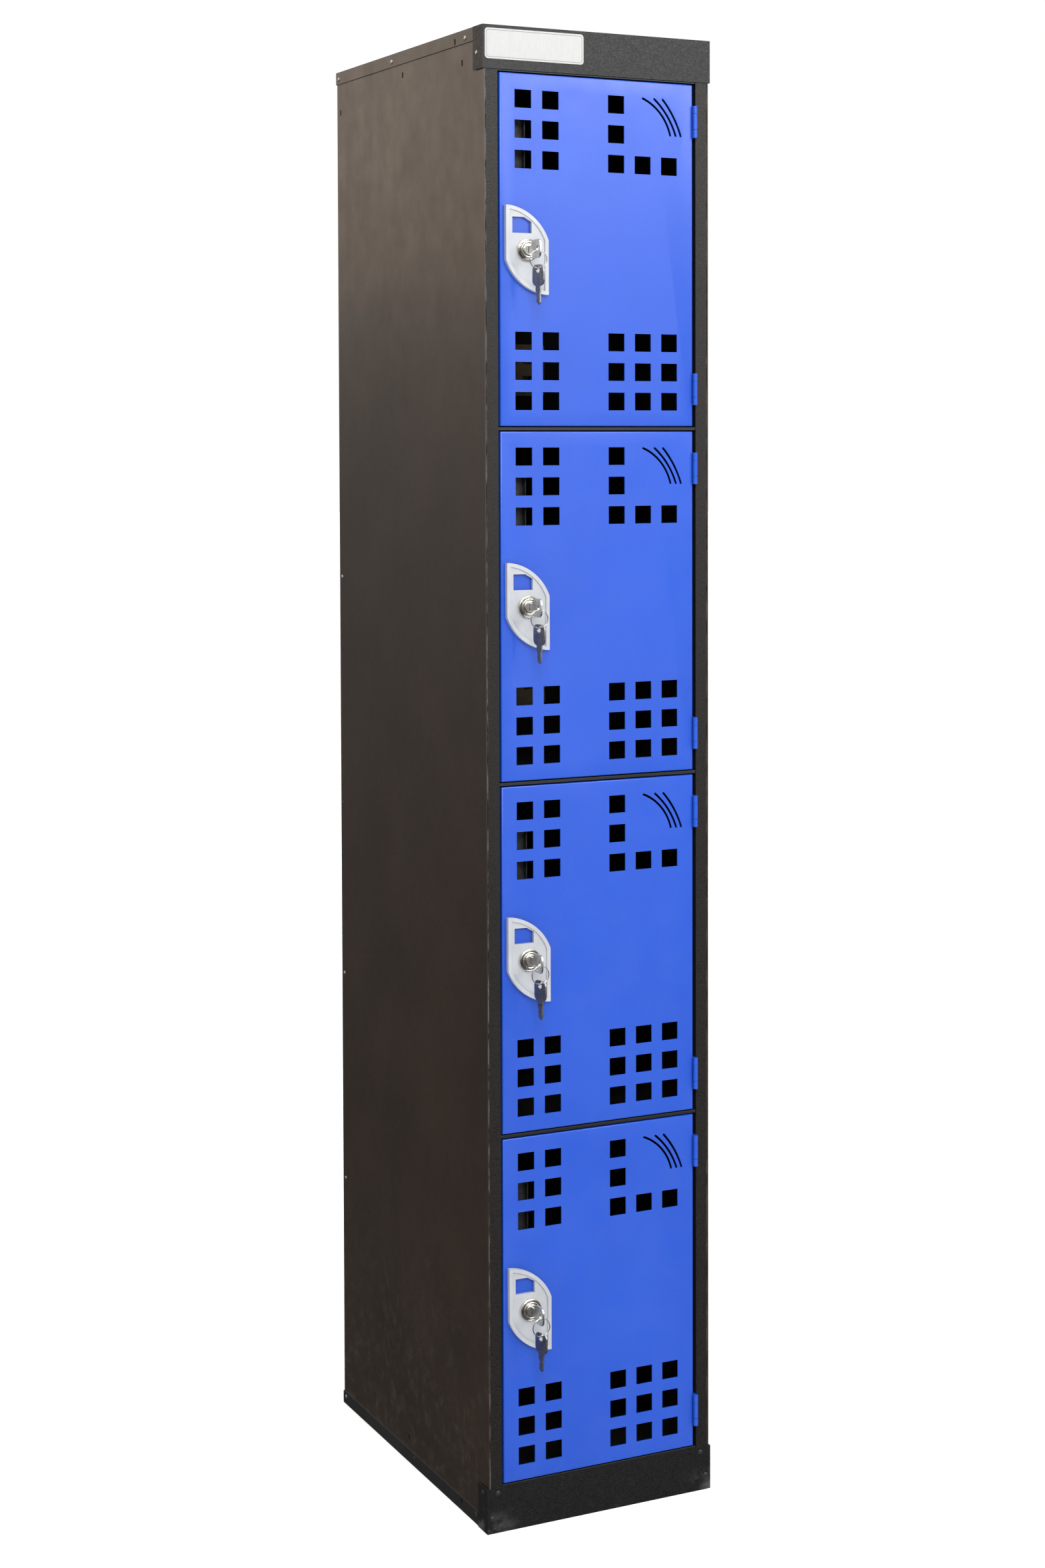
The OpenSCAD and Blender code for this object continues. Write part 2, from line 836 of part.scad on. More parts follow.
for (i = [1:TIERS]) translate([0, 0, door_z(i)]) {
    door_panel();
    door_stiffener();
    hinge_leaves();
    lock_plate();
    lock_housing();
    lock_plug();
    lock_cam();
    key();
    key_ring();
    spare_key();
}
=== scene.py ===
import json
import math

import bmesh
import bpy
from mathutils import Matrix, Vector

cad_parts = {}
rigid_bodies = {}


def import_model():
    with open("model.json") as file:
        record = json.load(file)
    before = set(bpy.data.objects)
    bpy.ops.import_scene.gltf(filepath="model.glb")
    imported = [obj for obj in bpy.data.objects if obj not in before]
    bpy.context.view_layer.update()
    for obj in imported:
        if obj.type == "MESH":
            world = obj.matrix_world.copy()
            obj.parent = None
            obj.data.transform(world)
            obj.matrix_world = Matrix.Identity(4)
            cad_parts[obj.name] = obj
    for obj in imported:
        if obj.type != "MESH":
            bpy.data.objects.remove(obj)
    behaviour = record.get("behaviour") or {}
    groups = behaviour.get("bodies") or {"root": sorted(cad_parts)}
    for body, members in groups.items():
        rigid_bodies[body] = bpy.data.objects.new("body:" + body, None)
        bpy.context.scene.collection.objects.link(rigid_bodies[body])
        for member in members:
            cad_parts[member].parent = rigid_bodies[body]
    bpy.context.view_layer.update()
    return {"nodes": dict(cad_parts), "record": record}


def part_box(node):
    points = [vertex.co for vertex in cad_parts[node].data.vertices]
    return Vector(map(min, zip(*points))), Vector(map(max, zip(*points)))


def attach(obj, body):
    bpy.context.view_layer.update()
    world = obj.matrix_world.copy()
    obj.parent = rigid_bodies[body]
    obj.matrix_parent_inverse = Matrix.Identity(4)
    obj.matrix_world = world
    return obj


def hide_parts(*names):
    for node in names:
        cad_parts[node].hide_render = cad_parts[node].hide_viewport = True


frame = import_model()

# ---------------------------------------------------------------- sizes, in metres

MM = 0.001
DOORS = range(1, 5)

SHEET = 1.2 * MM
BEND = 1.8 * MM
EDGE = 0.35 * MM

HOLE = 21.5 * MM
PITCH = 35.7 * MM
LOCK_COLUMN = 30.2 * MM
HINGE_COLUMN = 32.4 * MM
FIRST_ROW = 29.8 * MM
HOLE_ROWS = 3
# Each group of square holes: the side it is measured from, its columns, and up or down
HOLE_GROUPS = (
    ("Lock Side", 2, 1), ("Lock Side", 2, -1), ("Hinge Side", 3, 1), ("Hinge Side", 3, -1),
)
DOOR_LIP = 12 * MM
LOCK_HOLE_D = 19.1 * MM

SLIT_WIDTH = 2.6 * MM
SLIT_TOP = 20.4 * MM
SLIT_BOTTOM = 63.3 * MM
# Where the top and bottom ends of each slit lie from the hinge edge, and its radius
SLITS = [
    (67.9 * MM, 30.7 * MM, 62 * MM),
    (52.3 * MM, 23.3 * MM, 96 * MM),
    (40.9 * MM, 16.4 * MM, 120 * MM),
]

RIVET_R = 3 * MM
RIVET_H = 0.95 * MM

PLATE_RECESS = 1.5 * MM
WINDOW_MIDDLE = 23.1 * MM
DISH_LINE = 68 * MM
DISH_DEPTH = 0.9 * MM
DISH_RUN = 7 * MM
# How far below the soft line the dished field is cut across, in millimetres
DISH_CUTS = (0.0, 1.5, 3.5, 6.0, 9.0, 13.0, 18.0, 24.0, 31.0)

BARREL_R = 9.5 * MM
BORE_R = 6.56 * MM
BORE_MOUTH = 6.3 * MM
THREAD_PITCH = 1 * MM
THREAD_DEPTH = 0.4 * MM
THREAD_START = 12 * MM
# The bezel, from its skirt in to the plug: radius, and height over the plate, in millimetres
BEZEL = (
    (13.5, 0.0), (13.5, 2.5), (13.35, 3.2), (12.95, 3.75), (12.4, 3.98), (11.9, 3.85), (11.5, 3.4),
    (11.3, 2.6), (11.25, 1.6), (10.6, 1.6), (10.5, 2.0), (10.42, 4.9), (10.25, 5.7), (9.85, 6.25),
    (9.25, 6.48), (8.8, 6.42), (8.45, 6.15), (8.1, 5.98), (7.7, 5.98), (7.4, 6.2), (7.1, 6.42),
    (6.8, 6.48),
)

LINE_INSET = 2 * MM
LINE_WIDTH = 0.5 * MM
LINE_CORNER = 2 * MM
LINE_THICK = 0.04 * MM

KEY_THICK = 2 * MM
BOW_LENGTH = 25 * MM
BOW_WIDTH = 22 * MM
BOW_CORNER = 7 * MM
BOW_HOLE = 3.5 * MM
HOLE_TO_END = 6.5 * MM
NECK_LENGTH = 7 * MM
NECK_WIDTH = 9 * MM
BLADE_LENGTH = 15 * MM
BLADE_WIDTH = 7.4 * MM
# Depths of the key's cuts from the shoulder on, and where they start and leave off
KEY_CUTS = [1.1 * MM, 2.0 * MM, 0.7 * MM, 1.7 * MM, 1.2 * MM]
CUTS_FROM = 0.8 * MM
UNCUT = 3.6 * MM
SPARE_TURN = math.radians(12)

RING_TURNS = 2
RING_STEPS = 72
RING_START = math.radians(70)
WIRE_FIT = 0.98

FLOOR_DROP = 0.5 * MM

# ---------------------------------------------------------------- camera

CAMERA_AT = Vector((-1.3924, -3.1729, 1.3242))
CAMERA_YAW = math.radians(-28.34)
CAMERA_PITCH = math.radians(-2.22)
CAMERA_LENS = 61.48
CAMERA_SHIFT = (-0.1344, -0.1599)


def make_camera():
    data = bpy.data.cameras.new("camera")
    data.sensor_width = 36
    data.lens = CAMERA_LENS
    data.shift_x, data.shift_y = CAMERA_SHIFT
    data.clip_end = 200
    camera = bpy.data.objects.new("camera", data)
    camera.location = CAMERA_AT
    camera.rotation_euler = (math.pi / 2 + CAMERA_PITCH, 0, CAMERA_YAW)
    bpy.context.scene.collection.objects.link(camera)
    bpy.context.scene.camera = camera


make_camera()
bpy.context.scene.view_settings.view_transform = "Standard"

# ---------------------------------------------------------------- materials


class Paint:
    """A material with short calls for the nodes that finishes share."""

    def __init__(self, name, roughness, metallic=0.0, coat=0.0, coat_roughness=0.1):
        self.material = bpy.data.materials.new(name)
        self.material.use_nodes = True
        self.tree = self.material.node_tree
        self.shader = self.tree.nodes["Principled BSDF"]
        self.shader.inputs["Roughness"].default_value = roughness
        self.shader.inputs["Metallic"].default_value = metallic
        self.shader.inputs["Coat Weight"].default_value = coat
        self.shader.inputs["Coat Roughness"].default_value = coat_roughness
        self.place = self.tree.nodes.new("ShaderNodeTexCoord").outputs["Object"]
        self.normal = None

    def link(self, source, target):
        self.tree.links.new(source, target)

    def stretched(self, scale):
        mapping = self.tree.nodes.new("ShaderNodeMapping")
        mapping.inputs["Scale"].default_value = scale
        self.link(self.place, mapping.inputs["Vector"])
        return mapping.outputs["Vector"]

    def noise(self, scale, detail=3.0, roughness=0.5, place=None):
        node = self.tree.nodes.new("ShaderNodeTexNoise")
        node.inputs["Scale"].default_value = scale
        node.inputs["Detail"].default_value = detail
        node.inputs["Roughness"].default_value = roughness
        self.link(place or self.place, node.inputs["Vector"])
        return node.outputs["Fac"]

    def cells(self, scale, feature="F1"):
        node = self.tree.nodes.new("ShaderNodeTexVoronoi")
        node.feature = feature
        node.inputs["Scale"].default_value = scale
        self.link(self.place, node.inputs["Vector"])
        return node.outputs["Distance"]

    def spread(self, value, low, high, to_low=0.0, to_high=1.0):
        node = self.tree.nodes.new("ShaderNodeMapRange")
        node.inputs["From Min"].default_value = low
        node.inputs["From Max"].default_value = high
        node.inputs["To Min"].default_value = to_low
        node.inputs["To Max"].default_value = to_high
        self.link(value, node.inputs["Value"])
        return node.outputs["Result"]

    def height(self):
        node = self.tree.nodes.new("ShaderNodeSeparateXYZ")
        self.link(self.place, node.inputs["Vector"])
        return node.outputs["Z"]

    def aside(self):
        """The distance to the left or right of the middle."""
        parts = self.tree.nodes.new("ShaderNodeSeparateXYZ")
        node = self.tree.nodes.new("ShaderNodeMath")
        node.operation = "ABSOLUTE"
        self.link(self.place, parts.inputs["Vector"])
        self.link(parts.outputs["X"], node.inputs[0])
        return node.outputs["Value"]

    def times(self, a, b):
        node = self.tree.nodes.new("ShaderNodeMath")
        node.operation = "MULTIPLY"
        self.link(a, node.inputs[0])
        if isinstance(b, float):
            node.inputs[1].default_value = b
        else:
            self.link(b, node.inputs[1])
        return node.outputs["Value"]

    def blend(self, amount, first, second):
        node = self.tree.nodes.new("ShaderNodeMix")
        node.data_type = "RGBA"
        self.link(amount, node.inputs["Factor"])
        for socket, colour in ((node.inputs["A"], first), (node.inputs["B"], second)):
            if isinstance(colour, tuple):
                socket.default_value = (*colour, 1)
            else:
                self.link(colour, socket)
        return node.outputs["Result"]

    def colour(self, source):
        self.link(source, self.shader.inputs["Base Color"])

    def roughness(self, source):
        self.link(source, self.shader.inputs["Roughness"])

    def bump(self, source, distance, strength=1.0):
        node = self.tree.nodes.new("ShaderNodeBump")
        node.inputs["Distance"].default_value = distance
        node.inputs["Strength"].default_value = strength
        self.link(source, node.inputs["Height"])
        if self.normal is not None:
            self.link(self.normal, node.inputs["Normal"])
        self.normal = node.outputs["Normal"]
        self.link(self.normal, self.shader.inputs["Normal"])


def satin_coat(name, dark, light, roughness=0.34, orange_peel=0.02 * MM, dust=None):
    """A smooth powder coat: faint orange peel, soft mottling and thin dust low down."""
    paint = Paint(name, roughness, coat=0.25, coat_roughness=0.22)
    mottle = paint.spread(paint.noise(6, 4, 0.55), 0.35, 0.65)
    tone = paint.blend(mottle, dark, light)
    if dust:
        low = paint.spread(paint.height(), 0.35, 0.0)
        specks = paint.spread(paint.noise(70, 5, 0.65), 0.5, 0.8)
        tone = paint.blend(paint.times(paint.times(low, specks), 0.5), tone, dust)
    paint.colour(tone)
    sheen = paint.noise(30, 3)
    paint.roughness(paint.spread(sheen, 0.3, 0.7, roughness - 0.04, roughness + 0.06))
    paint.bump(paint.noise(520, 2, 0.5), orange_peel)
    return paint.material


def textured_coat(name, dark, light, roughness=0.5, grain=0.16 * MM, scuffs=None, edge_highlight=None):
    """A fine leather-like powder coat: small raised cells with a little broken sheen."""
    paint = Paint(name, roughness, coat=0.05, coat_roughness=0.35)
    paint.shader.inputs["Specular IOR Level"].default_value = 0.38
    cells = paint.cells(900, "SMOOTH_F1")
    tone = paint.blend(paint.spread(cells, 0.1, 0.7), light, dark)
    if scuffs:
        low = paint.spread(paint.height(), 0.03, 0.006)
        corner = paint.spread(paint.aside(), 0.105, 0.148)
        rubbed = paint.spread(paint.noise(38, 5, 0.6), 0.42, 0.56)
        tone = paint.blend(paint.times(paint.times(low, corner), rubbed), tone, scuffs)
        smudge = paint.spread(paint.noise(16, 6, 0.7), 0.6, 0.8)
        tone = paint.blend(paint.times(smudge, 0.4), tone, scuffs)
    if edge_highlight:
        # Painted highlight along the outer corner's rounded fold, lighter in broken streaks
        edge = paint.spread(paint.aside(), 0.1461, 0.1473)
        drawn_out = paint.stretched((260, 260, 34))
        streaks = paint.spread(paint.noise(1, 5, 0.65, drawn_out), 0.44, 0.6)
        tone = paint.blend(paint.times(paint.times(edge, streaks), 0.75), tone, edge_highlight)
    paint.colour(tone)
    sheen = paint.noise(420, 4, 0.6)
    paint.roughness(paint.spread(sheen, 0.35, 0.65, roughness - 0.1, roughness + 0.1))
    paint.bump(paint.noise(1400, 3, 0.6), grain * 0.4)
    paint.bump(cells, grain, 0.8)
    return paint.material


def plated(name, tone, shade, roughness, drawn=(900, 900, 30)):
    """Bright plated metal with fine drawn scratches and slightly cloudy patches."""
    paint = Paint(name, roughness, metallic=1.0)
    paint.colour(paint.blend(paint.spread(paint.noise(160, 3), 0.35, 0.7), tone, shade))
    scratches = paint.noise(1, 4, 0.6, paint.stretched(drawn))
    paint.roughness(paint.spread(scratches, 0.3, 0.7, roughness - 0.05, roughness + 0.1))
    paint.bump(scratches, 0.012 * MM)
    return paint.material


def shade_darkened_zinc(name):
    """Zinc with large soft crystals, in a colour darkened to painted shade."""
    paint = Paint(name, 0.6, metallic=0.5)
    crystals = paint.cells(130)
    tone = paint.spread(crystals, 0.1, 0.8)
    # Far darker than bright zinc: painted shade for the stiffener seen through the door's holes
    paint.colour(paint.blend(tone, (0.035, 0.036, 0.038), (0.02, 0.021, 0.023)))
    paint.roughness(paint.spread(crystals, 0.0, 0.8, 0.5, 0.68))
    paint.bump(paint.noise(600, 2), 0.01 * MM)
    return paint.material


def moulded(name, dark, light, roughness, grain=0.015 * MM, metallic=0.0):
    """Moulded plastic: a fine spark-eroded grain over a nearly even colour."""
    paint = Paint(name, roughness, metallic=metallic)
    paint.colour(paint.blend(paint.spread(paint.noise(45, 4), 0.35, 0.65), dark, light))
    sheen = paint.noise(240, 3)
    paint.roughness(paint.spread(sheen, 0.3, 0.7, roughness - 0.05, roughness + 0.07))
    paint.bump(paint.noise(1800, 2), grain)
    return paint.material


def paper(name):
    """A satin printed label with faint fibres."""
    paint = Paint(name, 0.38, coat=0.3, coat_roughness=0.15)
    fibres = paint.noise(1, 3, 0.6, paint.stretched((500, 500, 90)))
    tone = paint.spread(fibres, 0.3, 0.7)
    paint.colour(paint.blend(tone, (0.3, 0.3, 0.3), (0.325, 0.325, 0.32)))
    paint.bump(fibres, 0.006 * MM)
    return paint.material


FINISH = {
    "door_blue": satin_coat(
        "door_blue_coat", (0.0048, 0.053, 0.385), (0.0056, 0.058, 0.41), 0.36, 0.03 * MM),
    "side_steel": satin_coat(
        "side_brown_coat", (0.0185, 0.0102, 0.0058), (0.0235, 0.0135, 0.008), 0.36,
        dust=(0.08, 0.078, 0.07)),
    "cap_steel": satin_coat(
        "cap_brown_coat", (0.011, 0.008, 0.006), (0.017, 0.013, 0.01), 0.36),
    "tray_steel": satin_coat(
        "tray_black_coat", (0.008, 0.008, 0.0085), (0.013, 0.013, 0.0135), 0.4),
    # The stile's light line along its outer corner is a painted highlight
    "frame_steel": textured_coat(
        "stile_charcoal_coat", (0.004, 0.0032, 0.0026), (0.013, 0.0105, 0.0085),
        edge_highlight=(0.22, 0.21, 0.2)),
    "header_steel": textured_coat(
        "header_charcoal_coat", (0.005, 0.0048, 0.005), (0.016, 0.0155, 0.016)),
    "plinth_steel": textured_coat(
        "plinth_black_coat", (0.003, 0.003, 0.0035), (0.008, 0.008, 0.009),
        grain=0.14 * MM, scuffs=(0.05, 0.052, 0.048)),
    "inner_steel": satin_coat(
        "inner_black_coat", (0.004, 0.004, 0.0045), (0.007, 0.007, 0.0075), 0.55),
    # Zinc darkened to painted shade
    "zinc": shade_darkened_zinc("zinc_plate_painted_shade"),
    "lock_grey": moulded(
        "lock_plate_silver", (0.34, 0.355, 0.38), (0.38, 0.395, 0.42), 0.34, 0.01 * MM, 0.1),
    "nickel": plated("nickel_plate", (0.76, 0.74, 0.69), (0.62, 0.6, 0.55), 0.2),
    "plug_nickel": plated("plug_nickel_plate", (0.78, 0.77, 0.74), (0.64, 0.63, 0.6), 0.36),
    "key_silver": plated(
        "key_nickel_silver", (0.66, 0.66, 0.65), (0.5, 0.5, 0.5), 0.3, drawn=(500, 60, 500)),
    "rivet_bright": plated(
        "rivet_steel", (0.78, 0.78, 0.79), (0.6, 0.6, 0.61), 0.25, drawn=(400, 400, 400)),
    "rivet_dark": textured_coat(
        "rivet_black_coat", (0.012, 0.012, 0.013), (0.03, 0.03, 0.032), 0.42),
    "cream_plastic": moulded("cream_plastic", (0.3, 0.25, 0.155), (0.36, 0.3, 0.19), 0.35),
    "supply_case": textured_coat("supply_grey_coat", (0.2, 0.21, 0.22), (0.28, 0.29, 0.3)),
    "black_plastic": moulded(
        "black_plastic", (0.012, 0.012, 0.013), (0.02, 0.02, 0.021), 0.45),
    "label_white": paper("label_stock"),
    "label_ink": moulded("label_keyline_ink", (0.1, 0.1, 0.11), (0.14, 0.14, 0.15), 0.5),
}

# ---------------------------------------------------------------- mesh helpers

# Angles between two faces: they meet in an edge from SHARP on, or from FOLD on round the door's
# face and its holes, and they are made one below FLAT
SHARP = math.radians(35)
FOLD = 0.6
FLAT = math.radians(0.4)
# Points nearer than these are one point: in a node's own mesh, and where face and rim meet
WELD = 2e-6
SEAM_WELD = 3e-6

NODE_SLOT = {s["node"]: s["material_slot"] for s in frame["record"]["subparts"]}
NODE_BODY = {n: b for b, nodes in frame["record"]["behaviour"]["bodies"].items() for n in nodes}


def add_object(name, mesh):
    thing = bpy.data.objects.new(name, mesh)
    bpy.context.scene.collection.objects.link(thing)
    return thing


def mesh_from(bm, name):
    mesh = bpy.data.meshes.new(name)
    bm.to_mesh(mesh)
    bm.free()
    return mesh


def evaluated_mesh(thing):
    """A plain mesh of an object with its modifiers worked out."""
    bpy.context.view_layer.update()
    graph = bpy.context.evaluated_depsgraph_get()
    return bpy.data.meshes.new_from_object(thing.evaluated_get(graph))


def baked(thing):
    """Turns the modifiers' result into the object's own plain mesh."""
    mesh = evaluated_mesh(thing)
    thing.modifiers.clear()
    thing.data = mesh
    return thing


def joined(bm, other):
    """Adds the second mesh's faces to the first, and frees the second."""
    bm.from_mesh(mesh_from(other, "joined"))
    return bm


def round_edges(thing, radius, segments=2, by_weight=False):
    modifier = thing.modifiers.new("round", "BEVEL")
    modifier.width = radius
    modifier.segments = segments
    modifier.limit_method = "WEIGHT" if by_weight else "ANGLE"
    modifier.angle_limit = SHARP
    modifier.harden_normals = True
    return baked(thing)


def smooth(thing, angle=SHARP):
    thing.data.shade_smooth()
    thing.data.set_sharp_from_angle(angle=angle)
    return thing


def dress(thing, slot, body, replaced=(), finish=None):
    thing.data.materials.clear()
    thing.data.materials.append(FINISH[finish or slot])
    for polygon in thing.data.polygons:
        polygon.material_index = 0
    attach(thing, body)
    if replaced:
        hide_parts(*replaced)
    return thing


def joined_faces(node):
    """A CAD node's triangles as one joined mesh with its flat faces made whole."""
    bm = bmesh.new()
    bm.from_mesh(frame["nodes"][node].data)
    bmesh.ops.remove_doubles(bm, verts=bm.verts, dist=WELD)
    bmesh.ops.dissolve_limit(bm, angle_limit=FLAT, verts=bm.verts, edges=bm.edges)
    return bm


def slice_level(bm, heights):
    """Cuts a mesh's faces through at these heights without taking anything away."""
    for z in heights:
        everything = bm.verts[:] + bm.edges[:] + bm.faces[:]
        bmesh.ops.bisect_plane(
            bm, geom=everything, dist=1e-6, plane_co=(0, 0, z), plane_no=(0, 0, 1))


def solids(bm):
    """The vertices of each separate solid in a mesh."""
    left = set(bm.verts)
    found = []
    while left:
        stack = [left.pop()]
        group = list(stack)
        while stack:
            for edge in stack.pop().link_edges:
                for v in edge.verts:
                    if v in left:
                        left.discard(v)
                        stack.append(v)
                        group.append(v)
        found.append(group)
    return found


def box_of(verts):
    """The lowest and highest corners of some vertices."""
    return (Vector([min(v.co[k] for v in verts) for k in range(3)]),
            Vector([max(v.co[k] for v in verts) for k in range(3)]))


def turned(axis, profile, steps):
    """A solid turned about a line along Y, from a closed profile of radius and Y."""
    bm = bmesh.new()
    rings = [
        [bm.verts.new((axis[0] + r * math.cos(a), y, axis[1] + r * math.sin(a)))
         for r, y in profile]
        for a in (2 * math.pi * k / steps for k in range(steps))
    ]
    for k in range(steps):
        for j in range(len(profile)):
            bm.faces.new((rings[k - 1][j - 1], rings[k][j - 1], rings[k][j], rings[k - 1][j]))
    return outward(bm)


def outward(bm):
    """Turns a closed solid's faces to the outside."""
    bm.normal_update()
    bmesh.ops.recalc_face_normals(bm, faces=bm.faces)
    if bm.calc_volume(signed=True) < 0:
        bmesh.ops.reverse_faces(bm, faces=bm.faces)
    return bm


def finished(node, bm, radius, segments=2, finish=None):
    """Rounds the edges of a shape that stands for a CAD node, and gives it the node's finish."""
    thing = add_object(node + "_finished", mesh_from(bm, node))
    if "custom_normal" in thing.data.attributes:
        thing.data.attributes.remove(thing.data.attributes["custom_normal"])
    smooth(thing)
    if radius:
        round_edges(thing, radius, segments)
    return dress(thing, NODE_SLOT[node], NODE_BODY[node], (node,), finish)


def rounded_node(node, radius, segments=2, finish=None):
    """The node's own shape with its edges rounded over, in place of the sharp one."""
    return finished(node, joined_faces(node), radius, segments, finish)


def arc_points(centre, start, end, radius, count):
    """Points on an arc about a centre, from one angle to another."""
    return [
        (centre[0] + radius * math.cos(a), centre[1] + radius * math.sin(a))
        for a in (start + (end - start) * i / count for i in range(count + 1))
    ]


def rounded_outline(width, height, corner, count=6):
    """A rectangle about the middle with round corners, anticlockwise."""
    points = []
    for quarter, (sx, sy) in enumerate(((1, 1), (-1, 1), (-1, -1), (1, -1))):
        centre = (sx * (width / 2 - corner), sy * (height / 2 - corner))
        start = quarter * math.pi / 2
        points += arc_points(centre, start, start + math.pi / 2, corner, count)
    return points


def flat_plate(loops, thickness):
    """A plate in X and Y from closed outlines, the first the outside and the rest holes."""
    bm = bmesh.new()
    edges = []
    for loop in loops:
        verts = [bm.verts.new((x, y, 0)) for x, y in loop]
        edges += [bm.edges.new((verts[i - 1], verts[i])) for i in range(len(verts))]
    bmesh.ops.triangle_fill(bm, use_beauty=True, use_dissolve=True, edges=edges)
    bmesh.ops.recalc_face_normals(bm, faces=bm.faces)
    made = bmesh.ops.extrude_face_region(bm, geom=bm.faces[:])
    top = [v for v in made["geom"] if isinstance(v, bmesh.types.BMVert)]
    bmesh.ops.translate(bm, verts=top, vec=(0, 0, thickness))
    return outward(bm)


def swept(path, radius, sides=10):
    """A round wire along a path of points, closed off at both ends."""
    bm = bmesh.new()
    rings = []
    for i, point in enumerate(path):
        before = path[i - 1] if i else point
        after = path[i + 1] if i < len(path) - 1 else point
        along = (after - before).normalized()
        across = along.cross(Vector((0, 1, 0))).normalized()
        up = across.cross(along)
        rings.append([
            bm.verts.new(point + radius * (across * math.cos(a) + up * math.sin(a)))
            for a in (2 * math.pi * s / sides for s in range(sides))
        ])
    for low, high in zip(rings, rings[1:]):
        for s in range(sides):
            bm.faces.new((low[s - 1], low[s], high[s], high[s - 1]))
    bm.faces.new(rings[0])
    bm.faces.new(rings[-1][::-1])
    bmesh.ops.recalc_face_normals(bm, faces=bm.faces)
    return bm


# ---------------------------------------------------------------- node trees


class Tree:
    """A geometry node tree with named inputs and short calls."""

    def __init__(self, name, sizes):
        self.tree = bpy.data.node_groups.new(name, "GeometryNodeTree")
        self.tree.interface.new_socket("Geometry", in_out="INPUT", socket_type="NodeSocketGeometry")
        self.ids = {}
        for label, value in sizes.items():
            kind = "NodeSocketInt" if isinstance(value, int) else "NodeSocketFloat"
            socket = self.tree.interface.new_socket(label, in_out="INPUT", socket_type=kind)
            socket.default_value = value
            self.ids[label] = socket.identifier
        self.tree.interface.new_socket(
            "Geometry", in_out="OUTPUT", socket_type="NodeSocketGeometry")
        self.inputs = self.tree.nodes.new("NodeGroupInput").outputs
        self.output = self.tree.nodes.new("NodeGroupOutput").inputs["Geometry"]

    def add(self, kind, links=None, **settings):
        node = self.tree.nodes.new(kind)
        for key, value in settings.items():
            setattr(node, key, value)
        for key, value in (links or {}).items():
            socket = node.inputs[key]
            if isinstance(value, bpy.types.NodeSocket):
                self.tree.links.new(value, socket)
            else:
                socket.default_value = value
        return node

    def maths(self, operation, *values):
        node = self.tree.nodes.new("ShaderNodeMath")
        node.operation = operation
        for socket, value in zip(node.inputs, values):
            if isinstance(value, bpy.types.NodeSocket):
                self.tree.links.new(value, socket)
            else:
                socket.default_value = value
        return node.outputs[0]

    def vector(self, x=0.0, y=0.0, z=0.0):
        return self.add("ShaderNodeCombineXYZ", {"X": x, "Y": y, "Z": z}).outputs[0]

    def finish(self, geometry, material):
        real = self.add("GeometryNodeRealizeInstances", {"Geometry": geometry}).outputs[0]
        painted = self.add("GeometryNodeSetMaterial", {"Geometry": real, "Material": material})
        self.tree.links.new(painted.outputs[0], self.output)

    def put_on(self, thing, sizes):
        modifier = thing.modifiers.new("build", "NODES")
        modifier.node_group = self.tree
        for label, value in sizes.items():
            modifier[self.ids[label]] = value


def punched_outline(t):
    """Punches the groups of square holes in the flat outline that the tree is given."""
    pitch = t.inputs["Pitch"]
    hole = t.add("GeometryNodeCurvePrimitiveQuadrilateral",
                 {"Width": t.inputs["Hole"], "Height": t.inputs["Hole"]}).outputs[0]
    groups = []
    for side, columns, up in HOLE_GROUPS:
        wide = t.maths("MULTIPLY", pitch, float(columns - 1))
        tall = t.maths("MULTIPLY", pitch, float(HOLE_ROWS - 1))
        grid = t.add("GeometryNodeMeshGrid", {
            "Size X": wide, "Size Y": tall, "Vertices X": columns, "Vertices Y": HOLE_ROWS})
        inward = 0.5 if side == "Lock Side" else -0.5
        middle_x = t.maths("MULTIPLY_ADD", wide, inward, t.inputs[side])
        middle_y = t.maths("MULTIPLY", t.maths("SUBTRACT", t.inputs["Row"], pitch), float(up))
        placed = t.add("GeometryNodeTransform", {
            "Geometry": grid.outputs["Mesh"], "Translation": t.vector(middle_x, middle_y)})
        if side == "Hinge Side" and up == 1:
            # This group keeps its first column and its lowest row, and leaves room for the slits
            point = t.add("GeometryNodeInputPosition").outputs[0]
            at = t.add("ShaderNodeSeparateXYZ", {"Vector": point})
            half_pitch = t.maths("MULTIPLY", pitch, 0.5)
            first_column = t.maths("SUBTRACT", middle_x, half_pitch)
            lowest_row = t.maths("SUBTRACT", middle_y, half_pitch)
            right = t.maths("GREATER_THAN", at.outputs["X"], first_column)
            above = t.maths("GREATER_THAN", at.outputs["Y"], lowest_row)
            placed = t.add("GeometryNodeDeleteGeometry", {
                "Geometry": placed.outputs[0], "Selection": t.maths("MULTIPLY", right, above)})
        groups.append(t.add("GeometryNodeInstanceOnPoints", {
            "Points": placed.outputs[0], "Instance": hole}).outputs[0])
    together = t.add("GeometryNodeJoinGeometry")
    for part in groups + [t.inputs["Geometry"]]:
        t.tree.links.new(part, together.inputs[0])
    real = t.add("GeometryNodeRealizeInstances", {"Geometry": together.outputs[0]})
    return t.add("GeometryNodeFillCurve", {"Curve": real.outputs[0]}, mode="NGONS").outputs[0]


def perforated_face_tree():
    """The door's face: punched sheet, with its thickness behind it."""
    t = Tree("perforated_face", {
        "Hole": HOLE, "Pitch": PITCH, "Sheet": SHEET, "Lock Side": 0.0, "Hinge Side": 0.0,
        "Row": 0.0,
    })
    face = punched_outline(t)
    solid = t.add("GeometryNodeExtrudeMesh", {
        "Mesh": face, "Offset": t.vector(0, 0, -1), "Offset Scale": t.inputs["Sheet"],
        "Individual": False})
    both = t.add("GeometryNodeJoinGeometry")
    t.tree.links.new(solid.outputs["Mesh"], both.inputs[0])
    t.tree.links.new(face, both.inputs[0])
    merged = t.add("GeometryNodeMergeByDistance", {"Geometry": both.outputs[0], "Distance": 1e-6})
    t.finish(merged.outputs[0], FINISH["door_blue"])
    return t


# ---------------------------------------------------------------- doors


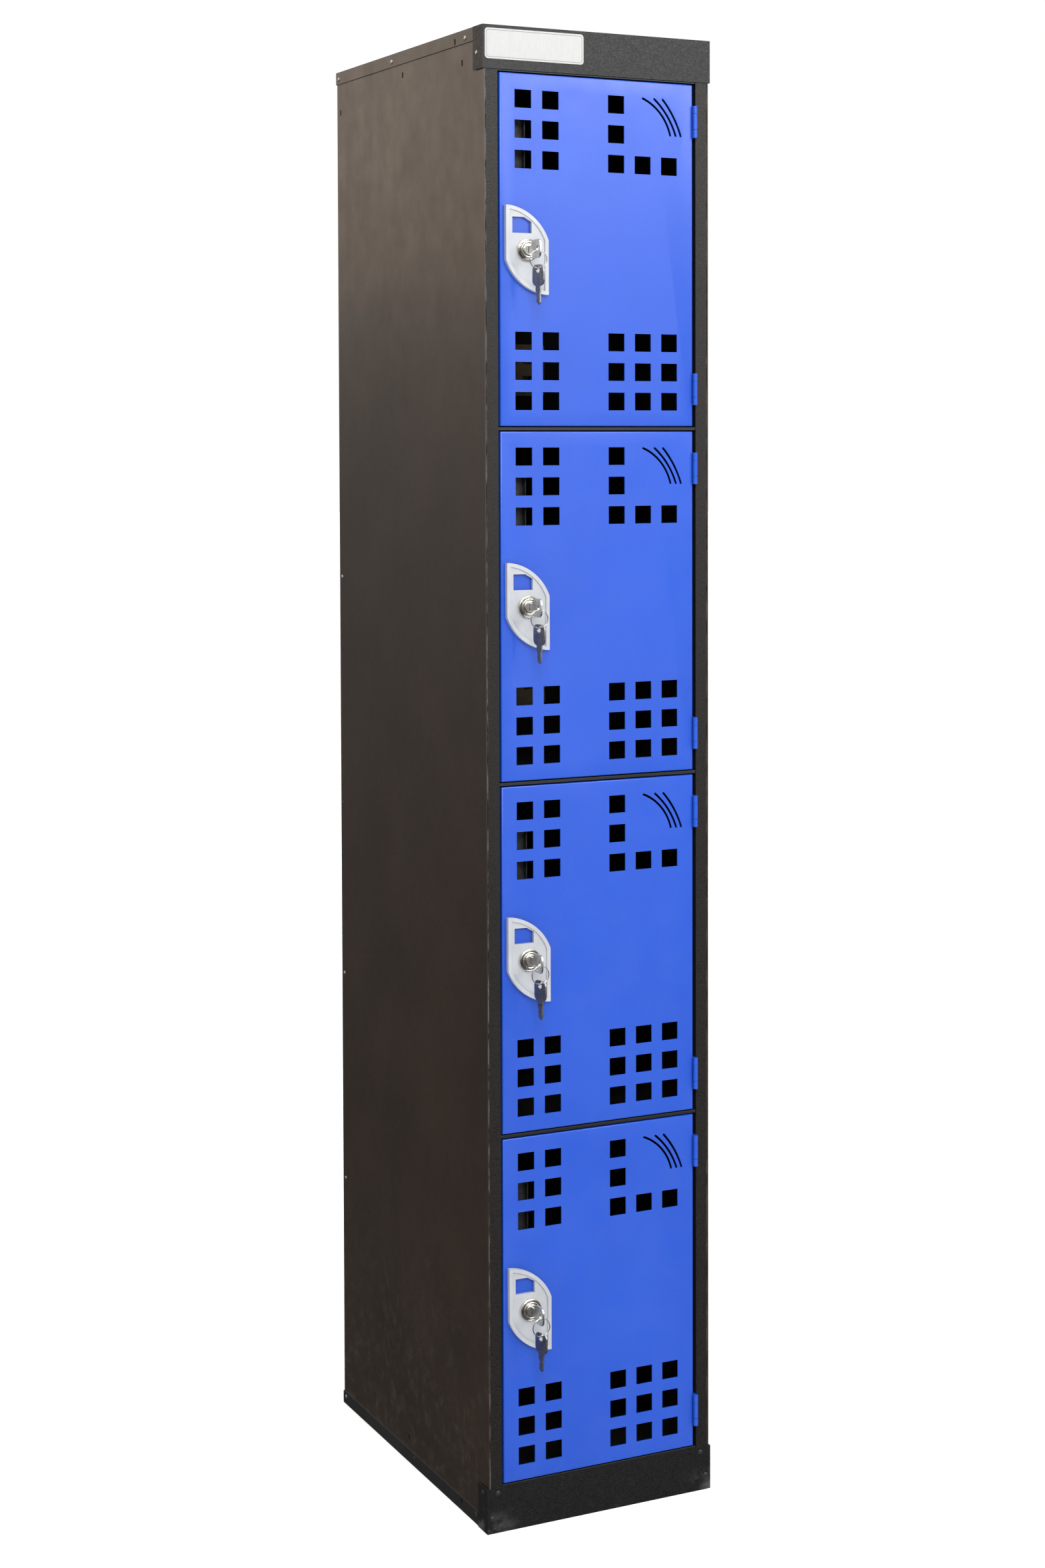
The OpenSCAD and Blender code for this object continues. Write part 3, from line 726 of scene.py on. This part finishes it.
def slit_outline(entry, corner):
    """One curved slit with round ends, as a closed outline in X and Z."""
    top = Vector((corner.x - entry[0], corner.y - SLIT_TOP))
    low = Vector((corner.x - entry[1], corner.y - SLIT_BOTTOM))
    along = low - top
    reach = math.sqrt(entry[2] ** 2 - (along.length / 2) ** 2)
    centre = (top + low) / 2 + reach * Vector((along.y, -along.x)).normalized()
    a = math.atan2(top.y - centre.y, top.x - centre.x)
    b = math.atan2(low.y - centre.y, low.x - centre.x)
    outer = arc_points(centre, a, b, entry[2] + SLIT_WIDTH / 2, 16)
    inner = arc_points(centre, b, a, entry[2] - SLIT_WIDTH / 2, 16)
    far_end = arc_points(low, b, b - math.pi, SLIT_WIDTH / 2, 5)[1:-1]
    near_end = arc_points(top, a + math.pi, a, SLIT_WIDTH / 2, 5)[1:-1]
    return outer + far_end + inner + near_end


def outline_curve(name, loops):
    data = bpy.data.curves.new(name, "CURVE")
    data.dimensions = "3D"
    for loop in loops:
        spline = data.splines.new("POLY")
        spline.points.add(len(loop) - 1)
        for point, (x, y) in zip(spline.points, loop):
            point.co = (x, y, 0, 1)
        spline.use_cyclic_u = True
    return add_object(name, data)


def bend_points(radius, steps):
    """A quarter bend from the face round to the flange, as inset and depth from the front."""
    turns = (math.pi / 2 * k / steps for k in range(steps + 1))
    return [(BEND - radius * math.sin(a), BEND - radius * math.cos(a)) for a in turns]


def folded_rim(low, high):
    """The door's folded edge: a round bend, the flange, a second bend and the back lip."""
    depth = high.y - low.y
    outer = bend_points(BEND, 5)
    outer += [(inset, depth - into) for inset, into in reversed(outer)]
    outer += [(DOOR_LIP, depth)]
    inner = bend_points(BEND - SHEET, 3)
    inner += [(inset, depth - into) for inset, into in reversed(inner)]
    inner += [(DOOR_LIP, depth - SHEET)]
    bm = bmesh.new()
    rings = [
        [bm.verts.new((x, low.y + into, z)) for x, z in (
            (low.x + inset, low.z + inset), (high.x - inset, low.z + inset),
            (high.x - inset, high.z - inset), (low.x + inset, high.z - inset))]
        for inset, into in outer + inner[::-1]
    ]
    for first, second in zip(rings, rings[1:]):
        for k in range(4):
            bm.faces.new((first[k - 1], first[k], second[k], second[k - 1]))
    return bm


def door_face(i, face_tree):
    """The perforated face, standing at the front of the door."""
    node = f"door_panel_{i}"
    low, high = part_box(node)
    lock_low, lock_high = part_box(f"lock_plate_{i}")
    lock_x = (lock_low.x + lock_high.x) / 2
    half_h = (high.z - low.z) / 2
    border = [(low.x + BEND, -half_h + BEND), (high.x - BEND, -half_h + BEND),
              (high.x - BEND, half_h - BEND), (low.x + BEND, half_h - BEND)]
    lock_hole = arc_points((lock_x, 0), 0, 2 * math.pi, LOCK_HOLE_D / 2, 40)[:-1]
    slits = [slit_outline(entry, Vector((high.x, half_h))) for entry in SLITS]
    face = outline_curve(node + "_face", [border, lock_hole] + slits)
    face_tree.put_on(face, {
        "Hole": HOLE, "Pitch": PITCH, "Sheet": SHEET, "Lock Side": low.x + LOCK_COLUMN,
        "Hinge Side": high.x - HINGE_COLUMN, "Row": half_h - FIRST_ROW,
    })
    skin = bmesh.new()
    skin.from_mesh(evaluated_mesh(face))
    bpy.data.objects.remove(face)
    bmesh.ops.dissolve_limit(skin, angle_limit=0.01, verts=skin.verts, edges=skin.edges)
    # The tree draws in X and Y with the front at height 0: stand it up at the door's face
    place = Matrix.Translation((0, low.y, (low.z + high.z) / 2))
    stand = place @ Matrix.Rotation(math.pi / 2, 4, "X")
    bmesh.ops.transform(skin, verts=skin.verts, matrix=stand)
    return skin


def build_door(i, face_tree):
    """One door: the perforated face from the node tree, sewn to its folded rim."""
    node = f"door_panel_{i}"
    low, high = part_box(node)
    bm = joined(folded_rim(low, high), door_face(i, face_tree))
    bmesh.ops.remove_doubles(bm, verts=bm.verts, dist=SEAM_WELD)

    def on_seam(v):
        """Within the sheet, and on the line where the face meets the bend."""
        gap = min(v.co.x - low.x, high.x - v.co.x, v.co.z - low.z, high.z - v.co.z)
        in_sheet = abs(v.co.y - (low.y + SHEET / 2)) < SHEET * 0.51
        return in_sheet and BEND * 0.99 < gap < BEND * 1.01

    inner_walls = [
        f for f in bm.faces if abs(f.normal.y) < 0.1 and all(on_seam(v) for v in f.verts)
    ]
    bmesh.ops.delete(bm, geom=inner_walls, context="FACES")
    bmesh.ops.recalc_face_normals(bm, faces=bm.faces)
    weight = bm.edges.layers.float.new("bevel_weight_edge")
    for edge in bm.edges:
        on_face = all(abs(v.co.y - low.y) < 1e-5 for v in edge.verts)
        if on_face and len(edge.link_faces) == 2 and edge.calc_face_angle(0) > FOLD:
            edge[weight] = 1.0
    door = add_object(node + "_finished", mesh_from(bm, node))
    smooth(door, math.radians(40))
    round_edges(door, EDGE, 2, by_weight=True)
    return dress(door, "door_blue", f"door_{i}", (node,))


face_tree = perforated_face_tree()
for i in DOORS:
    build_door(i, face_tree)

# ---------------------------------------------------------------- cabinet sheets

for node, radius in (
    ("side_panel_left", 0.4), ("side_panel_right", 0.4), ("back_panel", 0.4), ("top_cap", 0.55),
    ("base_tray", 0.5), ("header_cover", 0.45), ("plinth_cover", 0.45), ("stile_left", 0.5),
    ("stile_right", 0.5), ("shelves", 0.4), ("service_panel", 0.4), ("hinge_frame_leaves", 0.3),
    ("charging_outlets", 0.8), ("power_supply", 1.2), ("power_inlet", 0.5), ("supply_wiring", 0.5),
    ("name_label", 0.12),
):
    rounded_node(node, radius * MM)

for i in DOORS:
    for node, radius in (("door_stiffener", 0.35), ("hinge_leaves", 0.3), ("lock_cam", 0.35)):
        rounded_node(f"{node}_{i}", radius * MM, 3)
    rounded_node(f"lock_plug_{i}", 0.4 * MM, 3, "plug_nickel")
rounded_node("hinge_pins", 0.4 * MM)

# ---------------------------------------------------------------- lock plates and locks


def dished_plate(i):
    """The lock plate: a raised round-edged rim, and a field that dips below a soft line."""
    node = f"lock_plate_{i}"
    low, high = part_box(node)
    field = low.y + PLATE_RECESS
    line = high.z - DISH_LINE
    bm = joined_faces(node)
    # The first two cuts pass through the lock's hole and the window, so that no face runs right
    # round one
    slice_level(bm, [(low.z + high.z) / 2, high.z - WINDOW_MIDDLE])
    slice_level(bm, [line - down * MM for down in DISH_CUTS])
    for v in bm.verts:
        if abs(v.co.y - field) < 1e-5 and v.co.z < line:
            v.co.y += DISH_DEPTH * (1 - math.exp((v.co.z - line) / DISH_RUN))
    return finished(node, bm, 0.9 * MM, 4)


def lock_barrel(i):
    """The housing: a rolled bezel, a groove, a polished collar, a threaded body and its nut."""
    node = f"lock_housing_{i}"
    low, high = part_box(node)
    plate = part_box(f"lock_plate_{i}")[0].y + PLATE_RECESS
    nut = joined_faces(node)
    for group in solids(nut):
        if box_of(group)[1].y > high.y - MM:
            bmesh.ops.delete(nut, geom=group, context="VERTS")
    profile = [(r * MM, plate - out * MM) for r, out in BEZEL]
    profile += [(BORE_R, plate - BORE_MOUTH), (BORE_R, high.y), (BARREL_R - THREAD_DEPTH, high.y)]
    thread = high.y - THREAD_PITCH / 2
    while thread > plate + THREAD_START:
        root = thread - THREAD_PITCH / 2
        profile += [(BARREL_R, thread), (BARREL_R - THREAD_DEPTH, root)]
        thread -= THREAD_PITCH
    profile += [(BARREL_R, thread), (BARREL_R, plate)]
    middle = (low + high) / 2
    barrel = turned((middle.x, middle.z), profile, 96)
    thing = add_object("nut", mesh_from(nut, "nut"))
    smooth(thing)
    round_edges(thing, 0.5 * MM, 2)
    bm = bmesh.new()
    bm.from_mesh(thing.data)
    bpy.data.objects.remove(thing)
    joined(bm, barrel)
    return finished(node, bm, 0)


for i in DOORS:
    dished_plate(i)
    lock_barrel(i)

# ---------------------------------------------------------------- label keyline


def label_keyline():
    """A thin printed line just inside the edge of the blank label."""
    low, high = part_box("name_label")
    middle = (low + high) / 2
    loops = []
    for inset, corner in ((LINE_INSET, LINE_CORNER + LINE_WIDTH),
                          (LINE_INSET + LINE_WIDTH, LINE_CORNER)):
        width, height = high.x - low.x - 2 * inset, high.z - low.z - 2 * inset
        loops.append(rounded_outline(width, height, corner))
    bm = flat_plate(loops, LINE_THICK)
    place = Matrix.Translation((middle.x, low.y, middle.z)) @ Matrix.Rotation(math.pi / 2, 4, "X")
    bmesh.ops.transform(bm, verts=bm.verts, matrix=place)
    line = add_object("label_keyline", mesh_from(bm, "label_keyline"))
    dress(line, "label_white", "cabinet", finish="label_ink")


label_keyline()

# ---------------------------------------------------------------- rivets


def rivet_head():
    """One domed head with a thin skirt, standing up from the origin."""
    bm = bmesh.new()
    profile = [(RIVET_R, 0), (RIVET_R, RIVET_H * 0.18), (RIVET_R * 0.93, RIVET_H * 0.36),
               (RIVET_R * 0.72, RIVET_H * 0.72), (RIVET_R * 0.4, RIVET_H * 0.95), (0.0, RIVET_H)]
    verts = [bm.verts.new((r, 0, z)) for r, z in profile]
    edges = [bm.edges.new(pair) for pair in zip(verts, verts[1:])]
    bmesh.ops.spin(
        bm, geom=verts + edges, axis=(0, 0, 1), cent=(0, 0, 0), angle=2 * math.pi, steps=20)
    bmesh.ops.remove_doubles(bm, verts=bm.verts, dist=1e-6)
    rim = [e for e in bm.edges if e.is_boundary]
    bmesh.ops.contextual_create(bm, geom=rim)
    bmesh.ops.recalc_face_normals(bm, faces=bm.faces)
    head = add_object("rivet_head", mesh_from(bm, "rivet_head"))
    smooth(head, math.radians(50))
    return head


def rivet_tree(head, slot):
    """Sets a rivet head on every point, turned along the point's outward arrow."""
    t = Tree("rivets_" + slot, {"Size": 1.0})
    size = t.inputs["Size"]
    arrow = t.add("GeometryNodeInputNamedAttribute", {"Name": "outward"}, data_type="FLOAT_VECTOR")
    aligned = t.add("FunctionNodeAlignRotationToVector",
                    {"Vector": arrow.outputs["Attribute"]}, axis="Z")
    shape = t.add("GeometryNodeObjectInfo", {"Object": head})
    points = t.add("GeometryNodeMeshToPoints", {"Mesh": t.inputs["Geometry"]})
    placed = t.add("GeometryNodeInstanceOnPoints", {
        "Points": points.outputs[0], "Instance": shape.outputs["Geometry"],
        "Rotation": aligned.outputs[0], "Scale": t.vector(size, size, size)})
    t.finish(placed.outputs[0], FINISH[slot])
    return t


def build_rivets(node, head):
    """Sets a head over each plain rivet, on the sheet that it stands on."""
    slot = NODE_SLOT[node]
    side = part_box("side_panel_right")[1].x
    sunk = RIVET_H + 0.05 * MM
    spots = []
    bm = joined_faces(node)
    for low, high in [box_of(group) for group in solids(bm)]:
        middle = (low + high) / 2
        sign = 1 if middle.x > 0 else -1
        reach = max(abs(low.x), abs(high.x))
        if reach > side + RIVET_H / 2:
            spots.append((Vector((sign * (reach - sunk), middle.y, middle.z)), (sign, 0, 0)))
        else:
            spots.append((Vector((middle.x, low.y + sunk, middle.z)), (0, -1, 0)))
    bm.free()
    mesh = bpy.data.meshes.new(node)
    mesh.from_pydata([at for at, _ in spots], [], [])
    arrows = mesh.attributes.new("outward", "FLOAT_VECTOR", "POINT")
    for k, (_, facing) in enumerate(spots):
        arrows.data[k].vector = facing
    rivets = add_object(node + "_finished", mesh)
    rivet_tree(head, slot).put_on(rivets, {"Size": 1.0})
    return dress(baked(rivets), slot, "cabinet", (node,))


head = rivet_head()
for node in ("bright_rivets", "painted_rivets"):
    build_rivets(node, head)
bpy.data.objects.remove(head)

# ---------------------------------------------------------------- keys and rings


def key_solid(name):
    """A key about the middle of its bow hole, in X and Z, with its blade along +X."""
    bow_end = BOW_LENGTH - HOLE_TO_END
    shoulder = bow_end + NECK_LENGTH
    tip = shoulder + BLADE_LENGTH
    half = BLADE_WIDTH / 2
    tooth = (BLADE_LENGTH - UNCUT) / len(KEY_CUTS)
    bitted = [(shoulder, half)]
    for k, cut in enumerate(KEY_CUTS):
        at = shoulder + CUTS_FROM + k * tooth
        bitted += [(at + tooth * 0.3, half - cut), (at + tooth * 0.62, half - cut)]
        bitted.append((at + tooth * 0.98, half - 0.3 * MM))
    # Anticlockwise: round the bow, along the plain edge to the tip, and back over the cuts
    middle = BOW_LENGTH / 2 - HOLE_TO_END
    outline = [(x + middle, y) for x, y in rounded_outline(BOW_LENGTH, BOW_WIDTH, BOW_CORNER)]
    outline += [(bow_end, -NECK_WIDTH / 2), (shoulder, -NECK_WIDTH / 2), (shoulder, -half)]
    outline += [(tip - 2.4 * MM, -half), (tip, -0.6 * MM), (tip - 1.6 * MM, 0.4 * MM)]
    outline += reversed(bitted)
    outline += [(shoulder, NECK_WIDTH / 2), (bow_end, NECK_WIDTH / 2)]
    hole = arc_points((0, 0), 0, 2 * math.pi, BOW_HOLE, 28)[:-1]
    bm = flat_plate([outline, hole], KEY_THICK)
    bmesh.ops.translate(bm, verts=bm.verts, vec=(0, 0, -KEY_THICK / 2))
    thing = add_object(name, mesh_from(bm, name))
    smooth(thing)
    return round_edges(thing, 0.3 * MM, 2)


def build_ring(i):
    """A split ring of two turns of wire, side by side, that crosses from one to the other."""
    low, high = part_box(f"key_ring_{i}")
    middle = (low + high) / 2
    wire = (high.y - low.y) / 4
    radius = (high.x - low.x) / 2 - wire
    path = []
    for k in range(RING_TURNS * RING_STEPS + 1):
        a = 2 * math.pi * k / RING_STEPS + RING_START
        slide = wire * max(-1.0, min(1.0, (k - RING_STEPS) / 10))
        offset = (radius * math.cos(a), slide * WIRE_FIT, radius * math.sin(a))
        path.append(middle + Vector(offset))
    ring = add_object(f"key_ring_{i}_finished", mesh_from(swept(path, wire * WIRE_FIT), "ring"))
    smooth(ring, math.radians(50))
    dress(ring, "nickel", f"ring_{i}", (f"key_ring_{i}",))


def build_keys(i):
    """The key in its lock, its spare on the ring below, and the ring through both."""
    ring_low, ring_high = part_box(f"key_ring_{i}")
    key_low, key_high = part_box(f"key_{i}")
    spare_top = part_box(f"spare_key_{i}")[1].z
    x = (key_low.x + key_high.x) / 2
    hole_y = (ring_low.y + ring_high.y) / 2

    key = key_solid(f"key_{i}_finished")
    stand = Matrix(((0, 0, 1, 0), (1, 0, 0, 0), (0, 1, 0, 0), (0, 0, 0, 1)))
    key.data.transform(Matrix.Translation((x, hole_y, (key_low.z + key_high.z) / 2)) @ stand)
    dress(key, "nickel", f"key_in_lock_{i}", (f"key_{i}",), "key_silver")

    spare = key_solid(f"spare_key_{i}_finished")
    hang = Matrix.Rotation(SPARE_TURN, 4, "Z") @ stand @ Matrix.Rotation(-math.pi / 2, 4, "Z")
    spare.data.transform(Matrix.Translation((x, hole_y, spare_top - HOLE_TO_END)) @ hang)
    dress(spare, "nickel", f"spare_{i}", (f"spare_key_{i}",), "key_silver")

    build_ring(i)


for i in DOORS:
    build_keys(i)

# ---------------------------------------------------------------- floor and light


def make_stage():
    bm = bmesh.new()
    bmesh.ops.create_circle(bm, cap_ends=True, segments=96, radius=40)
    floor = add_object("studio_floor", mesh_from(bm, "studio_floor"))
    paint = Paint("studio_floor_paint", 0.7)
    paint.shader.inputs["Specular IOR Level"].default_value = 0.1
    clouds = paint.spread(paint.noise(0.6, 2), 0.3, 0.7)
    paint.colour(paint.blend(clouds, (0.9, 0.9, 0.9), (0.92, 0.92, 0.92)))
    floor.data.materials.append(paint.material)
    floor.location.z = -FLOOR_DROP
    floor.visible_glossy = False


def make_sky():
    """A plain white backdrop, with softer light all round that grows brighter overhead."""
    world = bpy.data.worlds.new("studio")
    world.use_nodes = True
    tree = world.node_tree
    backdrop = tree.nodes["Background"]
    backdrop.inputs["Color"].default_value = (1, 1, 1, 1)
    backdrop.inputs["Strength"].default_value = 1.0
    room = tree.nodes.new("ShaderNodeBackground")
    room.inputs["Color"].default_value = (1, 0.98, 0.96, 1)
    where = tree.nodes.new("ShaderNodeTexCoord")
    height = tree.nodes.new("ShaderNodeSeparateXYZ")
    rise = tree.nodes.new("ShaderNodeMapRange")
    rise.interpolation_type = "SMOOTHSTEP"
    for label, value in (("From Min", -0.25), ("From Max", 0.5), ("To Min", 0.06), ("To Max", 0.7)):
        rise.inputs[label].default_value = value
    seen = tree.nodes.new("ShaderNodeLightPath")
    mix = tree.nodes.new("ShaderNodeMixShader")
    tree.links.new(where.outputs["Generated"], height.inputs["Vector"])
    tree.links.new(height.outputs["Z"], rise.inputs["Value"])
    tree.links.new(rise.outputs["Result"], room.inputs["Strength"])
    tree.links.new(seen.outputs["Is Camera Ray"], mix.inputs["Fac"])
    tree.links.new(room.outputs["Background"], mix.inputs[1])
    tree.links.new(backdrop.outputs["Background"], mix.inputs[2])
    tree.links.new(mix.outputs["Shader"], tree.nodes["World Output"].inputs["Surface"])
    bpy.context.scene.world = world


def overhead_light():
    """Even light from high above, so that the floor is equally pale everywhere."""
    data = bpy.data.lights.new("overhead_light", "SUN")
    data.energy = 2.6
    data.angle = math.radians(60)
    light = bpy.data.objects.new("overhead_light", data)
    light.rotation_euler = (math.radians(8), 0, 0)
    bpy.context.scene.collection.objects.link(light)


def soft_light(name, at, aim, size, power, tint=(1, 1, 1)):
    data = bpy.data.lights.new(name, "AREA")
    data.color = tint
    data.shape = "RECTANGLE"
    data.size, data.size_y = size
    data.energy = power
    light = bpy.data.objects.new(name, data)
    light.location = at
    light.rotation_euler = (Vector(aim) - Vector(at)).to_track_quat("-Z", "Y").to_euler()
    light.visible_camera = False
    bpy.context.scene.collection.objects.link(light)


make_stage()
make_sky()
overhead_light()
soft_light("front_light", (-1.2, -3.6, 3.4), (0, 0, 0.9), (1.4, 1.4), 118)
soft_light("high_light", (2.1, -4.2, 3.1), (0, 0, 1.6), (2.2, 1.5), 92)
soft_light("strip_light", (1.75, -4.4, 1.25), (0, -0.25, 1.1), (0.35, 2.2), 6)
soft_light("back_light", (2.6, 4.0, 3.0), (0, 0, 0.9), (2.2, 2.2), 70)
soft_light("side_light", (-2.0, 4.2, 2.9), (0, 0, 1.4), (2.6, 2.4), 14, (1, 0.74, 0.53))
